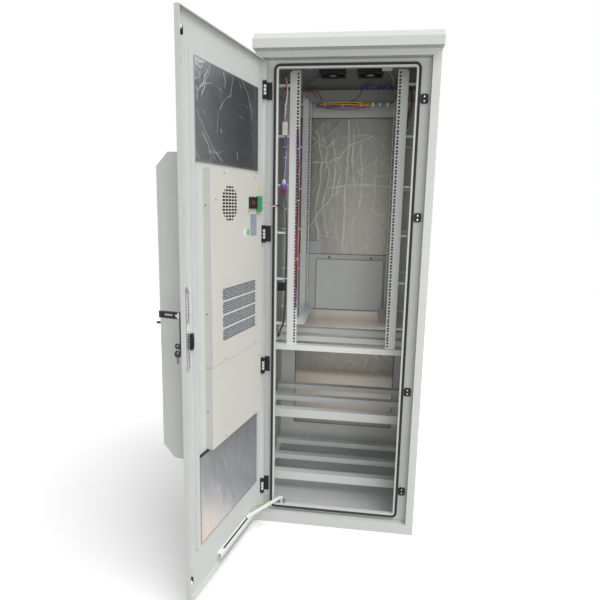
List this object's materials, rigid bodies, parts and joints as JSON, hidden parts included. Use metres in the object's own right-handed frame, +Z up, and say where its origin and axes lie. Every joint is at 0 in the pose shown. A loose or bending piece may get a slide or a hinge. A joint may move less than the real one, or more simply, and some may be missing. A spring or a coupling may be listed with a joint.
{
  "type": "outdoor telecom equipment cabinet with door air conditioner",
  "caption": "Outdoor telecom equipment cabinet: rack rails, battery shelves, hinged front door with a door-mounted air conditioner, rod lock and stay, and a rain hood with fans.",
  "frame": {"origin": "centre of the four anchor holes, on the ground under the base channel", "axes": "+Z up, -Y out of the doorway towards the viewer, +X to the viewer's right; the door is hinged at -X and stands open at rest"},
  "size_m": [1.026, 1.4387, 2.243],
  "materials": {
    "textured_paint": "fine textured powder coat",
    "white_paint": "smooth semi-gloss paint",
    "cream_paint": "fine textured powder coat",
    "galvanised_steel": "galvanised, faint spangle",
    "bright_steel": "turned, clean",
    "foil_lining": "wrinkled foil over thin foam",
    "coil_fins": "fine fins",
    "seal_rubber": "soft matte",
    "black_plastic": "fine grain",
    "black_metal": "satin black",
    "white_plastic": "smooth nylon",
    "green_plastic": "moulded",
    "cable_jacket": "soft PVC jacket",
    "earth_jacket": "green and yellow PVC jacket"
  },
  "bodies": {
    "cabinet": {"base_frame": "galvanised_steel", "floor_plate": "galvanised_steel", "front_frame": "textured_paint", "left_wall": "textured_paint", "right_wall": "textured_paint", "rear_wall": "textured_paint", "ceiling_plate": "textured_paint", "roof_hood": "textured_paint", "door_gasket": "seal_rubber", "side_foils": "foil_lining", "rear_foils": "foil_lining", "filter_cover": "textured_paint", "front_left_rail": "textured_paint", "front_right_rail": "textured_paint", "rear_left_rail": "textured_paint", "rear_right_rail": "textured_paint", "rail_brackets": "white_paint", "equipment_runners": "textured_paint", "mid_shelf": "textured_paint", "upper_battery_shelf": "textured_paint", "lower_battery_shelf": "textured_paint", "fan_frames": "black_plastic", "ceiling_terminal": "white_plastic", "cable_tray": "textured_paint", "tray_harness": "cable_jacket", "side_harness": "cable_jacket", "hinge_blocks": "black_metal", "hinge_pins": "bright_steel", "door_buffers": "black_plastic", "stay_bracket": "galvanised_steel", "earth_strap": "earth_jacket", "controller_lead": "cable_jacket"},
    "door": {"door_skin": "textured_paint", "door_stiffener": "textured_paint", "upper_foil": "foil_lining", "lower_foil": "foil_lining", "hinge_knuckles": "white_paint", "rod_guides": "galvanised_steel", "lock_plate": "galvanised_steel", "handle_base": "black_plastic", "ac_weather_cover": "textured_paint", "ac_upper_cover": "cream_paint", "ac_lower_cover": "cream_paint", "ac_chassis": "galvanised_steel", "ac_evaporator": "coil_fins", "ac_condenser": "coil_fins", "ac_controller": "black_plastic", "ac_terminal": "green_plastic", "stay_channel": "white_paint"},
    "spindle": {"lock_spindle": "bright_steel"},
    "lever": {"handle_lever": "black_plastic"},
    "upper_lock_rod": {"upper_rod": "galvanised_steel"},
    "lower_lock_rod": {"lower_rod": "galvanised_steel"},
    "top_roller": {"upper_roller": "white_plastic"},
    "bottom_roller": {"lower_roller": "white_plastic"},
    "key": {"lock_key": "black_metal"},
    "left_fan": {"left_fan_rotor": "black_plastic"},
    "right_fan": {"right_fan_rotor": "black_plastic"},
    "blower": {"ac_blower": "black_plastic"},
    "stay": {"stay_arm": "textured_paint"}
  },
  "joints": [
    {"name": "door_hinge", "type": "hinge", "parent": "cabinet", "child": "door", "pos_m": [-0.35, -0.36, 1.1], "axis": [0, 0, 1], "range_deg": [0, 102], "deforming": ["earth_strap", "controller_lead"]},
    {"name": "spindle_turn", "type": "hinge", "parent": "door", "child": "spindle", "pos_m": [-0.5046, -1.01517, 1.158], "axis": [-0.9781, 0.2079, 0], "range_deg": [0, 90]},
    {"name": "lever_fold", "type": "hinge", "parent": "spindle", "child": "lever", "pos_m": [-0.51731, -1.01247, 1.158], "axis": [0, 0, -1], "range_deg": [0, 90]},
    {"name": "upper_rod_slide", "type": "slide", "parent": "door", "child": "upper_lock_rod", "axis": [0, 0, 1], "range_m": [0, 0.00943]},
    {"name": "lower_rod_slide", "type": "slide", "parent": "door", "child": "lower_lock_rod", "axis": [0, 0, -1], "range_m": [0, 0.00942]},
    {"name": "top_roller_spin", "type": "hinge", "parent": "upper_lock_rod", "child": "top_roller", "pos_m": [-0.48272, -1.02289, 2.076], "axis": [-0.2079, -0.9781, 0], "continuous": true},
    {"name": "bottom_roller_spin", "type": "hinge", "parent": "lower_lock_rod", "child": "bottom_roller", "pos_m": [-0.48272, -1.02289, 0.138], "axis": [-0.2079, -0.9781, 0], "continuous": true},
    {"name": "key_turn", "type": "hinge", "parent": "door", "child": "key", "pos_m": [-0.5046, -1.01517, 1.049], "axis": [0.9781, -0.2079, 0], "range_deg": [0, 90]},
    {"name": "left_fan_spin", "type": "hinge", "parent": "cabinet", "child": "left_fan", "pos_m": [-0.081, -0.055, 2.16], "axis": [0, 0, 1], "continuous": true},
    {"name": "right_fan_spin", "type": "hinge", "parent": "cabinet", "child": "right_fan", "pos_m": [0.0965, -0.055, 2.16], "axis": [0, 0, 1], "continuous": true},
    {"name": "blower_spin", "type": "hinge", "parent": "door", "child": "blower", "pos_m": [-0.4339, -0.73066, 1.54], "axis": [0.9781, -0.2079, 0], "continuous": true},
    {"name": "stay_swing", "type": "hinge", "parent": "cabinet", "child": "stay", "pos_m": [-0.256, -0.343, 0.113], "axis": [0, 0, 1], "range_deg": [0, 120.45]}
  ],
  "couplings": [
    {"joint": "upper_rod_slide", "follows": "lower_rod_slide", "ratio": 1},
    {"joint": "spindle_turn", "follows": "lower_rod_slide", "rad_per_m": 166.67},
    {"joint": "stay_swing", "follows": "door_hinge", "ratio": 1.1789}
  ]
}
